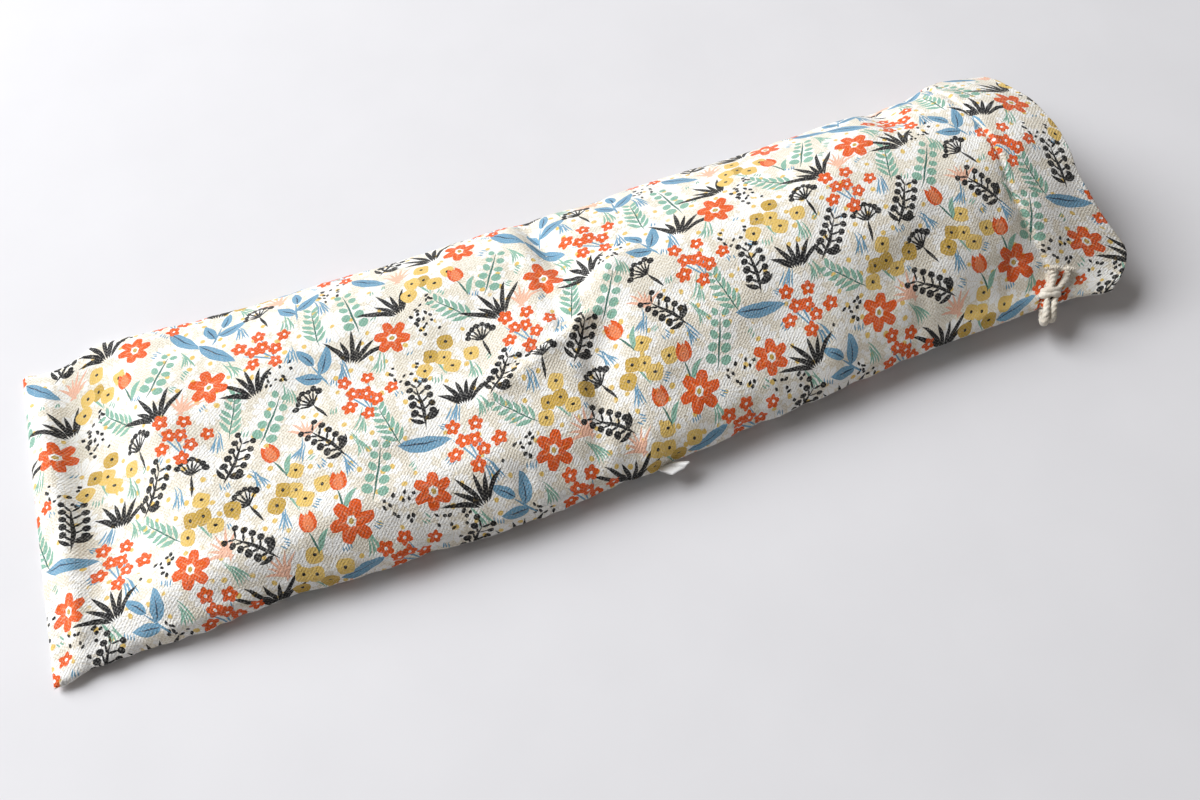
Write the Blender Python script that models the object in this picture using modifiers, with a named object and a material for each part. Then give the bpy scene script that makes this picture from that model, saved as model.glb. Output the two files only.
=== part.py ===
"""Long cotton drawstring bag, lying on its underside and filled out as it is in use.

One piece of cloth is folded along the far side and sewn along the near side and
across one end. The other end is hemmed and open, with a drawcord in its casing.
Metres, +Z up, +X from the sewn end to the mouth, +Y from the sewn side to the
folded side. The origin is on the flat underside, below the middle of the bag.
"""
import math
from collections import namedtuple

import bmesh
import bpy
import numpy as np
from mathutils import Matrix, Vector

MM = 0.001

# Driving sizes, in millimetres
LENGTH = 633.0            # sewn end to mouth, along the middle
CLOTH = 1.2               # thickness of the cotton canvas
SEAM_HEIGHT = 4.0         # height of the folded and sewn edges
SEAM_BULGE = 1.5          # how far a rounded edge stands out
CORD_DIAMETER = 4.2
TAB_THICKNESS = 1.0
SEAT_GAP = 0.3            # air between pieces that touch

# Mesh density of the cloth
STATIONS = 46
TOP_STEPS = 24
UNDER_STEPS = 12

# Cross-sections. y is from the line below the middle, z from the underside.
# share is where the crest lies from the near edge (0) to the far edge (1).
# near_full and far_full shape the two flanks: small is a steep side and a flat top.
Section = namedtuple("Section", "x near_y near_z far_y far_z crest share near_full far_full")
SECTIONS = [
    Section(0, -101.0, 3.5, 92.5, 2.0, 5.5, 0.50, 0.60, 0.60),
    Section(25, -97.5, 6.0, 91.0, 3.0, 11.0, 0.49, 0.55, 0.60),
    Section(45, -97.5, 7.5, 98.5, 4.0, 17.0, 0.48, 0.52, 0.60),
    Section(70, -98.0, 9.0, 98.5, 4.0, 24.0, 0.47, 0.50, 0.60),
    Section(120, -97.0, 12.0, 95.5, 5.0, 32.0, 0.45, 0.50, 0.60),
    Section(180, -98.5, 14.0, 95.5, 6.0, 36.0, 0.45, 0.52, 0.60),
    Section(250, -98.0, 14.0, 97.0, 7.0, 39.0, 0.46, 0.55, 0.60),
    Section(320, -92.5, 14.0, 97.0, 8.0, 44.0, 0.48, 0.60, 0.60),
    Section(390, -84.0, 14.0, 99.0, 8.0, 52.0, 0.50, 0.68, 0.60),
    Section(460, -77.0, 15.0, 98.0, 9.0, 61.0, 0.52, 0.80, 0.60),
    Section(525, -71.0, 16.0, 101.5, 10.0, 67.0, 0.54, 0.92, 0.60),
    Section(570, -69.0, 17.0, 102.0, 10.0, 67.0, 0.55, 1.00, 0.60),
    Section(602, -68.0, 18.0, 107.0, 11.0, 65.0, 0.56, 1.05, 0.62),
    Section(633, -72.5, 19.0, 108.0, 11.0, 60.0, 0.56, 1.10, 0.65),
]

# The hemmed mouth runs out and back across the upper layer, in mm from LENGTH
MouthPoint = namedtuple("MouthPoint", "share reach")
MOUTH_LINE = [
    MouthPoint(0.00, 1.0),
    MouthPoint(0.04, 6.0),
    MouthPoint(0.10, 12.0),
    MouthPoint(0.20, 8.5),
    MouthPoint(0.35, 2.0),
    MouthPoint(0.50, -1.0),
    MouthPoint(0.65, -3.5),
    MouthPoint(0.80, -8.0),
    MouthPoint(0.92, -5.5),
    MouthPoint(1.00, 2.0),
]
MOUTH_START = 440.0       # where the pull of the mouth line begins

# The underside lies flat between these shares of the width
REST_FROM = 0.38
REST_TO = 0.70

# Main folds of the upper layer: a soft ridge or trough along a line.
# angle is from +X, half_width is across the line, height is up or down.
Fold = namedtuple("Fold", "x y angle length half_width height")
FOLDS = [
    Fold(30, -5, 96, 130, 15, -4.0),      # hollow inside the end seam
    Fold(160, -72, 3, 250, 16, 4.5),      # rounded ridge along the near side
    Fold(190, 5, 4, 220, 24, -4.0),       # shallow valley along the middle
    Fold(215, 62, 2, 170, 20, 2.5),       # low ridge along the far side
    Fold(318, 62, 100, 80, 9, -5.5),      # crease that runs in from the far side
    Fold(326, -25, 78, 90, 13, -4.5),     # the same crease on the near side
    Fold(292, -15, 22, 90, 11, 3.0),      # slanting crease beside it
    Fold(336, 12, 48, 60, 10, 4.5),       # small peak where the two meet
    Fold(425, 20, 6, 170, 22, 3.5),       # ridge towards the mouth
    Fold(400, -50, 12, 130, 16, -3.5),    # slack flank below it
    Fold(545, 78, 80, 60, 11, -5.0),      # dip at the casing, far side
    Fold(583, 84, 85, 60, 10, 4.0),       # rise beyond it
    Fold(586, -20, 80, 110, 6, -1.6),     # line of the casing stitches
    Fold(500, -38, 30, 90, 14, -3.0),     # slack above the near seam
]

# Drawcord: each free end runs from the casing's slit, round over the seam, through
# the knot and out as a short tail. Points in mm, x from the sewn end.
CORD_STRANDS = {
    "cord_strand_left": [
        (584.0, -70.1, 16.5),
        (583.2, -74.0, 13.4),
        (581.5, -77.8, 14.8),
        (580.7, -78.4, 19.0),
        (581.6, -75.6, 22.3),
        (583.2, -72.3, 23.8),
        (584.5, -70.0, 24.5),
    ],
    "cord_strand_right": [
        (588.8, -69.9, 16.8),
        (588.1, -73.8, 13.7),
        (586.4, -77.4, 15.0),
        (585.5, -78.0, 19.1),
        (586.3, -75.5, 22.2),
        (587.9, -72.8, 23.7),
        (589.2, -71.0, 24.3),
    ],
}
CORD_TAILS = {
    "cord_tail_left": [
        (591.8, -61.3, 26.4),
        (593.6, -58.8, 27.4),
        (594.8, -56.1, 28.8),
        (595.6, -53.4, 30.5),
    ],
    "cord_tail_right": [
        (596.8, -63.4, 25.2),
        (600.0, -61.5, 25.9),
        (602.8, -59.1, 26.8),
        (605.0, -56.4, 28.2),
    ],
}
TAIL_FLARE = 1.25         # the cut ends fray wider than the cord
KNOT_CENTRE = (588.2, -65.7, 25.2)
KNOT_SIZE = (13.0, 7.4, 7.4)
KNOT_TURN = -14.0         # degrees in plan
KNOT_TILT = 22.0          # degrees up the slope of the cloth
KNOT_GROOVE = 0.10        # depth of its wraps, as a share of its radius

# Woven tab sewn into the near seam, folded over and leaning towards the mouth
TAB_X = 334.0
TAB_ROOT = 12.0           # width at the seam
TAB_REACH = 6.5           # how far it stands out
TAB_LEAN = 6.7            # how far its end lies towards the mouth
TAB_WAVE = 1.6            # height of its soft twist


def row_values(rows, key, names):
    """Smooth values of the named columns at key, through the rows of a table."""
    table = np.array([[getattr(row, name) for name in names] for row in rows], float)
    keys = np.array([row[0] for row in rows], float)
    slopes = np.gradient(table, keys, axis=0)
    i = int(np.clip(np.searchsorted(keys, key) - 1, 0, len(keys) - 2))
    span = keys[i + 1] - keys[i]
    t = (key - keys[i]) / span
    start = (1 + 2 * t) * (1 - t) ** 2 * table[i] + t * (1 - t) ** 2 * span * slopes[i]
    end = t * t * (3 - 2 * t) * table[i + 1] + t * t * (t - 1) * span * slopes[i + 1]
    return start + end


def section(x):
    return Section(x, *row_values(SECTIONS, x, Section._fields[1:]))


def mouth_reach(x, share):
    """How far the cloth at x is drawn along by the mouth's uneven line."""
    pull = max(0.0, (x - MOUTH_START) / (LENGTH - MOUTH_START)) ** 2
    return pull * row_values(MOUTH_LINE, share, ["reach"])[0]


def fold_height(x, y):
    total = 0.0
    for fold in FOLDS:
        angle = math.radians(fold.angle)
        along = (x - fold.x) * math.cos(angle) + (y - fold.y) * math.sin(angle)
        across = (y - fold.y) * math.cos(angle) - (x - fold.x) * math.sin(angle)
        reach = (2 * along / fold.length) ** 4 + (across / fold.half_width) ** 2
        total += fold.height * math.exp(-reach)
    return total


def place(x, y, z):
    """From sizes along the bag in mm to the part's own frame in metres."""
    return Vector(((x - LENGTH / 2) * MM, y * MM, z * MM))


def top_point(x, share):
    cut = section(x)
    y = cut.near_y + (cut.far_y - cut.near_y) * share
    edge = cut.near_z + (cut.far_z - cut.near_z) * share + SEAM_HEIGHT / 2
    edge_at_crest = cut.near_z + (cut.far_z - cut.near_z) * cut.share + SEAM_HEIGHT / 2
    skew = math.log(0.5) / math.log(cut.share)
    ease = share * share * (3 - 2 * share)
    power = cut.near_full + (cut.far_full - cut.near_full) * ease
    arch = max(0.0, math.sin(math.pi * share ** skew)) ** power
    hold = min(1.0, 12 * share, 12 * (1 - share)) * min(1.0, x / 20)
    z = edge + (cut.crest - edge_at_crest) * arch + hold * fold_height(x, y)
    return place(x + mouth_reach(x, share), y, z)


def under_point(x, share):
    cut = section(x)
    y = cut.near_y + (cut.far_y - cut.near_y) * share
    near_lift = max(0.0, 1 - share / REST_FROM) ** 2 * (cut.near_z - SEAM_HEIGHT / 2)
    far_lift = max(0.0, (share - REST_TO) / (1 - REST_TO)) ** 2 * (cut.far_z - SEAM_HEIGHT / 2)
    ends = mouth_reach(x, 0) * (1 - share) + mouth_reach(x, 1) * share
    return place(x + ends, y, near_lift + far_lift)


def edge_point(x, share):
    """The rounded outer edge between the upper and the under layer."""
    middle = (top_point(x, share) + under_point(x, share)) / 2
    side = 1 if share > 0.5 else -1
    return middle + Vector((0, side * SEAM_BULGE * MM, 0))


def shares(steps):
    """Steps across the width, closer together towards the edges."""
    even = np.linspace(0, 1, steps + 1)
    return 0.5 * even + 0.25 * (1 - np.cos(math.pi * even))


def ring_points(x):
    over = [top_point(x, share) for share in shares(TOP_STEPS)]
    under = [under_point(x, share) for share in shares(UNDER_STEPS)[::-1]]
    return over + [edge_point(x, 1)] + under + [edge_point(x, 0)]


def new_material(name, colour, roughness):
    material = bpy.data.materials.new(name)
    material.use_nodes = True
    shader = material.node_tree.nodes["Principled BSDF"]
    shader.inputs["Base Color"].default_value = (*colour, 1)
    shader.inputs["Roughness"].default_value = roughness
    shader.inputs["Metallic"].default_value = 0.0
    material.diffuse_color = (*colour, 1)
    return material


def add_object(name, data, material, collection):
    obj = bpy.data.objects.new(name, data)
    data.materials.append(material)
    collection.objects.link(obj)
    return obj


def make_cloth(collection, material):
    """The bag's wall: a loft through unlike sections, closed at the sewn end."""
    bm = bmesh.new()
    rings = []
    for step in range(STATIONS + 1):
        x = LENGTH * step / STATIONS
        rings.append([bm.verts.new(point) for point in ring_points(x)])
    count = len(rings[0])
    for back, front in zip(rings, rings[1:]):
        for j in range(count):
            k = (j + 1) % count
            bm.faces.new((back[j], front[j], front[k], back[k]))
    bm.faces.new(rings[0])
    bmesh.ops.recalc_face_normals(bm, faces=bm.faces)
    mesh = bpy.data.meshes.new("bag_cloth")
    bm.to_mesh(mesh)
    bm.free()
    mesh.shade_smooth()
    cloth = add_object("bag_cloth", mesh, material, collection)
    wall = cloth.modifiers.new("cloth thickness", "SOLIDIFY")
    wall.thickness = CLOTH * MM
    wall.offset = -1
    return cloth


def smooth_route(points):
    """Points about two diameters apart on a smooth curve through the route."""
    dense = []
    for i in range(len(points) - 1):
        before = Vector(points[max(i - 1, 0)])
        start = Vector(points[i])
        end = Vector(points[i + 1])
        after = Vector(points[min(i + 2, len(points) - 1)])
        for t in (0.0, 0.5):
            a = 2 * start
            b = (end - before) * t
            c = (2 * before - 5 * start + 4 * end - after) * t * t
            d = (3 * start - before - 3 * end + after) * t ** 3
            dense.append((a + b + c + d) / 2)
    return dense + [Vector(points[-1])]


def make_tube(name, points, end_scale, collection, material):
    """A length of cord as a round tube with filled ends."""
    route = smooth_route(points)
    curve = bpy.data.curves.new(name, "CURVE")
    curve.dimensions = "3D"
    curve.bevel_depth = CORD_DIAMETER / 2 * MM
    curve.bevel_resolution = 2
    curve.use_fill_caps = True
    spline = curve.splines.new("POLY")
    spline.points.add(len(route) - 1)
    for i, point in enumerate(route):
        spline.points[i].co = (*place(*point), 1)
        spline.points[i].radius = 1 + (end_scale - 1) * (i / (len(route) - 1)) ** 2
    return add_object(name, curve, material, collection)


def make_knot(collection, material):
    """The overhand knot, drawn tight: a lumpy oval with two slanting wraps."""
    bm = bmesh.new()
    bmesh.ops.create_uvsphere(bm, u_segments=20, v_segments=12, radius=1)
    for vert in bm.verts:
        wrap = math.cos(4.2 * vert.co.x + 1.3 * vert.co.y + 0.9 * vert.co.z)
        vert.co *= 1 - KNOT_GROOVE * (1 - wrap) / 2
    bmesh.ops.scale(bm, verts=bm.verts, vec=Vector(KNOT_SIZE) * MM / 2)
    turn = Matrix.Rotation(math.radians(KNOT_TURN), 4, "Z")
    tilt = Matrix.Rotation(math.radians(KNOT_TILT), 4, "X")
    bm.transform(Matrix.Translation(place(*KNOT_CENTRE)) @ turn @ tilt)
    mesh = bpy.data.meshes.new("cord_knot")
    bm.to_mesh(mesh)
    bm.free()
    mesh.shade_smooth()
    return add_object("cord_knot", mesh, material, collection)


def make_tab(collection, material):
    """The woven tab: a short folded tape that stands out of the near seam."""
    bm = bmesh.new()
    bmesh.ops.create_grid(bm, x_segments=8, y_segments=8, size=0.5)
    cut = section(TAB_X)
    root_y = cut.near_y - SEAM_BULGE - SEAT_GAP
    for vert in bm.verts:
        wide = vert.co.x + 0.5
        out = 0.5 - vert.co.y
        narrow = 1 - 0.25 * out
        x = TAB_X + TAB_ROOT * wide * narrow + TAB_LEAN * out
        y = root_y - TAB_REACH * out * (1 - 0.35 * wide * out)
        z = cut.near_z + TAB_WAVE * math.sin(math.pi * (wide + 0.6 * out)) * out - 1.5 * out
        vert.co = place(x, y, z)
    bmesh.ops.recalc_face_normals(bm, faces=bm.faces)
    mesh = bpy.data.meshes.new("seam_tab")
    bm.to_mesh(mesh)
    bm.free()
    mesh.shade_smooth()
    tab = add_object("seam_tab", mesh, material, collection)
    tape = tab.modifiers.new("tape thickness", "SOLIDIFY")
    tape.thickness = TAB_THICKNESS * MM
    tape.offset = 0
    return tab


for old in list(bpy.data.objects):
    bpy.data.objects.remove(old, do_unlink=True)

bag = bpy.data.collections.new("drawstring_bag")
bpy.context.scene.collection.children.link(bag)

canvas = new_material("printed cotton canvas", (0.83, 0.76, 0.64), 0.88)
cotton_cord = new_material("off-white cotton cord", (0.85, 0.80, 0.70), 0.90)
white_tape = new_material("white woven tape", (0.90, 0.90, 0.88), 0.75)

make_cloth(bag, canvas)
for strand, route in CORD_STRANDS.items():
    make_tube(strand, route, 1.0, bag, cotton_cord)
for tail, route in CORD_TAILS.items():
    make_tube(tail, route, TAIL_FLARE, bag, cotton_cord)
make_knot(bag, cotton_cord)
make_tab(bag, white_tape)
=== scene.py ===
"""A long printed cotton drawstring bag, lying filled out on a plain pale floor.

The sections follow the bag as it is made and seen: the view and its light, the two
free ends of the drawcord, their knot, the printed cloth, the stitches of the casing
and the sewn-in tab. Metres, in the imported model's own frame. Tables are in millimetres,
with x from the sewn end, y from the middle of the width and z from the floor.
"""
import math
import random
from collections import namedtuple

import bmesh
import bpy
import numpy as np
from mathutils import Matrix, Vector, noise
from mathutils.geometry import delaunay_2d_cdt


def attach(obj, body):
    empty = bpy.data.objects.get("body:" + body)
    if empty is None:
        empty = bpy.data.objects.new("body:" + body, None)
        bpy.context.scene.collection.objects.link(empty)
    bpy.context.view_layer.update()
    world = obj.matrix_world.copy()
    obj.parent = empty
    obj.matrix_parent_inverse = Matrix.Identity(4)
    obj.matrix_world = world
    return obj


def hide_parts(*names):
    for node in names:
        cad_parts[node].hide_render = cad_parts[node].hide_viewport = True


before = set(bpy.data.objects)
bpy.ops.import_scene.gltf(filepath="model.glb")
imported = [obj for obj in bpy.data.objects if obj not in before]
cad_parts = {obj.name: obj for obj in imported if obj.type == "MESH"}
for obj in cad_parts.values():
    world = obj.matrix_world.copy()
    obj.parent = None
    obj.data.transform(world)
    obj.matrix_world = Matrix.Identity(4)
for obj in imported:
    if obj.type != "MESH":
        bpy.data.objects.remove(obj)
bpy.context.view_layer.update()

# The view: a camera above the near side, looking down on the bag at about 61 degrees,
# turned and rolled a little, as its outline in the photograph shows.
MM = 0.001
VIEW_LENS = 33.66
VIEW_TARGET = Vector((0.0044, -0.0329, 0.0))
VIEW_DISTANCE = 0.6578
VIEW_PITCH = math.radians(61.49)
VIEW_YAW = math.radians(-16.58)
VIEW_ROLL = math.radians(-2.43)

view_back = Vector((
    math.sin(VIEW_YAW) * math.cos(VIEW_PITCH),
    -math.cos(VIEW_YAW) * math.cos(VIEW_PITCH),
    math.sin(VIEW_PITCH),
))
view_right = Vector((0, 0, 1)).cross(view_back).normalized()
view_turn = Matrix.Rotation(VIEW_ROLL, 3, view_back)
view_right = view_turn @ view_right
view_up = view_back.cross(view_right)
view_axes = Matrix((view_right, view_up, view_back)).transposed()
camera_data = bpy.data.cameras.new("camera")
camera_data.lens = VIEW_LENS
camera_data.clip_start = 0.01
camera = bpy.data.objects.new("camera", camera_data)
camera_place = Matrix.Translation(VIEW_TARGET + view_back * VIEW_DISTANCE)
camera.matrix_world = camera_place @ view_axes.to_4x4()
bpy.context.scene.collection.objects.link(camera)
bpy.context.scene.camera = camera
bpy.context.scene.view_settings.view_transform = "Standard"

# The light: one wide soft window light from the far left, over an even pale surround,
# so the shadows are soft and fall to the near right.
WINDOW_PLACE = Vector((-2.27, 1.98, 2.46))
WINDOW_SIZE = 2.8
WINDOW_WATTS = 243.0
WINDOW_COLOUR = (0.97, 0.985, 1.0)
SURROUND = 0.18
SURROUND_COLOUR = (1.0, 0.95, 0.90, 1)

window_data = bpy.data.lights.new("window light", "AREA")
window_data.shape = "SQUARE"
window_data.size = WINDOW_SIZE
window_data.energy = WINDOW_WATTS
window_data.color = WINDOW_COLOUR
window = bpy.data.objects.new("window light", window_data)
window.location = WINDOW_PLACE
window.rotation_euler = WINDOW_PLACE.to_track_quat("Z", "Y").to_euler()
bpy.context.scene.collection.objects.link(window)
surround = bpy.data.worlds.new("pale surround")
surround.use_nodes = True
surround.node_tree.nodes["Background"].inputs["Color"].default_value = SURROUND_COLOUR
surround.node_tree.nodes["Background"].inputs["Strength"].default_value = SURROUND
bpy.context.scene.world = surround


# The floor: plain painted plaster, pale and matt, with a faint unevenness of tone.
def linear(code, alpha=1.0):
    """An sRGB hex code as linear red, green and blue, with an alpha."""
    parts = [int(code[i:i + 2], 16) / 255 for i in (1, 3, 5)]
    return (*[c / 12.92 if c <= 0.04045 else ((c + 0.055) / 1.055) ** 2.4 for c in parts], alpha)


def add_node(tree, kind, settings, inputs):
    """Adds a node with its settings. An input takes a value, an output or a node's first output."""
    node = tree.nodes.new(kind)
    for name, value in settings.items():
        setattr(node, name, value)
    for name, value in inputs.items():
        if isinstance(value, bpy.types.Node):
            value = value.outputs[0]
        if isinstance(value, bpy.types.NodeSocket):
            tree.links.new(value, node.inputs[name])
        else:
            node.inputs[name].default_value = value
    return node


def new_material(name, roughness):
    """A named material, its node tree and its shader with a constant roughness."""
    material = bpy.data.materials.new(name)
    material.use_nodes = True
    shader = material.node_tree.nodes["Principled BSDF"]
    shader.inputs["Roughness"].default_value = roughness
    return material, material.node_tree, shader


FLOOR_SIZE = 3.0
FLOOR_TONES = ("#DFDEE1", "#E6E5E8")
FLOOR_PATCH = 60.0        # mm across a patch of tone

floor_material, tree, shader = new_material("matt painted plaster", 0.85)
place = add_node(tree, "ShaderNodeTexCoord", {}, {})
patches = add_node(tree, "ShaderNodeTexNoise", {}, {
    "Vector": place.outputs["Object"], "Scale": 1 / (FLOOR_PATCH * MM), "Detail": 4.0,
})
tone = add_node(tree, "ShaderNodeMix", {"data_type": "RGBA"}, {
    0: patches.outputs["Fac"], 6: linear(FLOOR_TONES[0]), 7: linear(FLOOR_TONES[1]),
})
tree.links.new(tone.outputs[2], shader.inputs["Base Color"])

bm = bmesh.new()
bmesh.ops.create_grid(bm, x_segments=1, y_segments=1, size=FLOOR_SIZE / 2)
floor_mesh = bpy.data.meshes.new("floor")
bm.to_mesh(floor_mesh)
bm.free()
floor_mesh.materials.append(floor_material)
floor = bpy.data.objects.new("floor", floor_mesh)
bpy.context.scene.collection.objects.link(floor)

# The drawcord's two free ends: soft off-white cotton cord of three loosely laid plies.
# Each comes out of the casing's slit, hangs over the near seam, turns up into the knot
# and ends in a short cut tail that has frayed.
LENGTH = 633.0
CORD_DIAMETER = 4.2
CORD_LAY = 9.0            # length of one full turn of the plies
PLIES = 3
PLY_DEPTH = 0.13          # how far the plies' valleys lie below the round
CordEnd = namedtuple("CordEnd", "route length flare")
CORD_ENDS = {
    "cord_end_left": CordEnd([
        (584.0, -70.1, 16.5), (583.2, -74.0, 13.4), (581.5, -77.8, 14.8), (580.7, -78.4, 19.0),
        (581.6, -75.6, 22.3), (583.2, -72.3, 23.8), (584.5, -70.0, 24.5), (588.0, -65.6, 25.6),
        (591.8, -61.3, 26.4), (593.6, -58.8, 27.4), (594.8, -56.1, 28.8), (595.6, -53.4, 30.5),
    ], 46.5, 1.95),
    "cord_end_right": CordEnd([
        (588.8, -69.9, 16.8), (588.1, -73.8, 13.7), (586.4, -77.4, 15.0), (585.5, -78.0, 19.1),
        (586.3, -75.5, 22.2), (587.9, -72.8, 23.7), (589.2, -71.0, 24.3), (592.8, -67.2, 24.9),
        (596.8, -63.4, 25.2), (600.0, -61.5, 25.9), (602.8, -59.1, 26.8), (605.0, -56.4, 28.2),
    ], 46.5, 1.2),
}


def on_bag(x, y, z):
    """From sizes along the bag in mm to the model's frame in metres."""
    return Vector(((x - LENGTH / 2) * MM, y * MM, z * MM))


def smooth_route(points, steps):
    """Points on a smooth curve through the route, with that many steps to a span."""
    dense = []
    for i in range(len(points) - 1):
        before, start, end, after = (
            Vector(points[min(max(k, 0), len(points) - 1)]) for k in (i - 1, i, i + 1, i + 2)
        )
        for t in np.linspace(0, 1, steps, endpoint=False):
            bend = (2 * before - 5 * start + 4 * end - after) * t * t
            pull = (3 * start - before - 3 * end + after) * t ** 3
            dense.append((2 * start + (end - before) * t + bend + pull) / 2)
    return dense + [Vector(points[-1])]


def ply_profile(count):
    """The laid cord's cross-section, in that many points: a round with a valley between plies."""
    curve = bpy.data.curves.new("ply profile", "CURVE")
    outline = curve.splines.new("POLY")
    outline.points.add(count - 1)
    outline.use_cyclic_u = True
    for i, knot in enumerate(outline.points):
        turn = 2 * math.pi * i / count
        out = CORD_DIAMETER / 2 * MM * (1 - PLY_DEPTH * (1 - math.cos(PLIES * turn)) / 2)
        knot.co = (out * math.cos(turn), out * math.sin(turn), 0, 1)
    return bpy.data.objects.new("ply profile", curve)


def curve_piece(name, lines, radius=0.0, profile_points=0, rounds=2):
    """A closed mesh of tubes along lines of (point, thickness, tilt), round or with plies."""
    curve = bpy.data.curves.new(name, "CURVE")
    curve.dimensions = "3D"
    curve.use_fill_caps = True
    curve.bevel_resolution = rounds
    curve.bevel_depth = radius
    if profile_points:
        profile = ply_profile(profile_points)
        curve.bevel_mode = "OBJECT"
        curve.bevel_object = profile
    for line in lines:
        spline = curve.splines.new("POLY")
        spline.points.add(len(line) - 1)
        for knot, (point, thickness, tilt) in zip(spline.points, line):
            knot.co = (*point, 1)
            knot.radius = thickness
            knot.tilt = tilt
    maker = bpy.data.objects.new(name + " maker", curve)
    bpy.context.scene.collection.objects.link(maker)
    bpy.context.view_layer.update()
    graph = bpy.context.evaluated_depsgraph_get()
    mesh = bpy.data.meshes.new_from_object(maker.evaluated_get(graph))
    bpy.data.objects.remove(maker)
    bpy.data.curves.remove(curve)
    if profile_points:
        profile_curve = profile.data
        bpy.data.objects.remove(profile)
        bpy.data.curves.remove(profile_curve)
    bm = bmesh.new()
    bm.from_mesh(mesh)
    bmesh.ops.remove_doubles(bm, verts=bm.verts, dist=0.001 * MM)
    bmesh.ops.recalc_face_normals(bm, faces=bm.faces)
    bm.to_mesh(mesh)
    bm.free()
    mesh.name = name
    mesh.shade_smooth()
    return mesh


def add_piece(name, mesh, material, slot, *nodes):
    """Puts a finished mesh on the bag, in place of the solids named. The slot is not used."""
    mesh.materials.clear()
    mesh.materials.append(material)
    piece = bpy.data.objects.new(name, mesh)
    bpy.context.scene.collection.objects.link(piece)
    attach(piece, "root")
    if nodes:
        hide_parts(*nodes)
    return piece


# Soft spun cotton: cream-white, quite matt, with a fuzz of fine fibres that lightens the
# edges and a fine grain along the spin. The grain is drawn at 0.8 mm so that it shows.
CORD_TONES = ("#D8CBB6", "#F8F2E6")
FIBRE_GRAIN = 0.8

cord_material, tree, shader = new_material("spun cotton cord", 0.92)
shader.inputs["Sheen Weight"].default_value = 0.35
shader.inputs["Sheen Roughness"].default_value = 0.6
place = add_node(tree, "ShaderNodeTexCoord", {}, {})
fuzz = add_node(tree, "ShaderNodeTexNoise", {}, {
    "Vector": place.outputs["Object"], "Scale": 1 / (FIBRE_GRAIN * MM), "Detail": 3.0,
    "Roughness": 0.6,
})
clumps = add_node(tree, "ShaderNodeTexNoise", {}, {
    "Vector": place.outputs["Object"], "Scale": 1 / (4 * FIBRE_GRAIN * MM), "Detail": 2.0,
})
blend = add_node(tree, "ShaderNodeMath", {"operation": "MULTIPLY_ADD"}, {
    0: fuzz.outputs["Fac"], 1: 0.9, 2: clumps.outputs["Fac"],
})
spread_tone = add_node(tree, "ShaderNodeMapRange", {}, {
    "Value": blend.outputs[0], "From Min": 0.55, "From Max": 1.30,
})
tone = add_node(tree, "ShaderNodeMix", {"data_type": "RGBA"}, {
    0: spread_tone.outputs[0], 6: linear(CORD_TONES[0]), 7: linear(CORD_TONES[1]),
})
relief = add_node(tree, "ShaderNodeBump", {}, {
    "Height": blend.outputs[0], "Strength": 0.9, "Distance": 0.8 * MM,
})
tree.links.new(tone.outputs[2], shader.inputs["Base Color"])
tree.links.new(relief.outputs["Normal"], shader.inputs["Normal"])

# Shares of the way along each end, from the slit to the cut: the loose bend is thickest, the
# knot pinches most, the tail starts to open out and the cut end rounds off.
BEND_AT = 0.22
BEND_SPAN = 0.12
PINCH_AT = 0.62
PINCH_SPAN = 0.14
FLARE_FROM = 0.72
TIP_FROM = 0.94
SWELL = 0.24              # extra thickness at the bend, and as much less in the knot
UNEVEN = 0.05
TIP_ROUND = 0.35
PROFILE_POINTS = 30
FRAY_TUFTS = 60           # on each cut end
FRAY_LENGTH = 3.0
FRAY_WIDTH = 0.34
FRAY_SET_BACK = 0.8       # how far inside the cut end each tuft starts
chance = random.Random(4)
cord_pieces = {}
fray_lines = []
for name, end in CORD_ENDS.items():
    route = [on_bag(*point) for point in smooth_route(end.route, 4)]
    line = []
    reach = 0.0
    for i, point in enumerate(route):
        reach += (point - route[i - 1]).length if i else 0.0
        share = i / (len(route) - 1)
        thickness = 1 + (end.flare - 1) * max(0.0, (share - FLARE_FROM) / (1 - FLARE_FROM)) ** 1.3
        thickness += SWELL * math.exp(-((share - BEND_AT) / BEND_SPAN) ** 2)
        thickness -= SWELL * math.exp(-((share - PINCH_AT) / PINCH_SPAN) ** 2)
        thickness *= 1 + UNEVEN * math.sin(reach * 2.3 / MM + len(name))
        thickness *= 1 - TIP_ROUND * max(0.0, (share - TIP_FROM) / (1 - TIP_FROM))
        line.append((point, thickness, 2 * math.pi * reach / (CORD_LAY * MM)))
    cord_pieces[name] = curve_piece(name, [line], profile_points=PROFILE_POINTS)
    tip = route[-1]
    ahead = (route[-1] - route[-4]).normalized()
    aside = ahead.cross(Vector((0, 0, 1))).normalized()
    over = aside.cross(ahead)
    for _ in range(FRAY_TUFTS):
        angle = chance.uniform(0, 2 * math.pi)
        away = math.sqrt(chance.random()) * CORD_DIAMETER / 2 * end.flare * 0.92
        side = aside * math.cos(angle) + over * math.sin(angle)
        root = tip + side * away * MM - ahead * FRAY_SET_BACK * MM
        lean = (ahead + side * chance.uniform(0.0, 0.9) * away * 2 / CORD_DIAMETER).normalized()
        long = chance.uniform(0.5, 1.0) * FRAY_LENGTH * MM
        curl = Vector([chance.uniform(-0.25, 0.25) for _ in range(3)]) * long
        fray_lines.append([
            (root, 1.5, 0),
            (root + lean * long * 0.6, 1.2, 0),
            (root + lean * long + curl, 0.45, 0),
        ])
fray_mesh = curve_piece("frayed_fibres", fray_lines, FRAY_WIDTH * MM, rounds=1)
frayed_fibres = add_piece("frayed_fibres", fray_mesh, cord_material, "cord")

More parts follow.
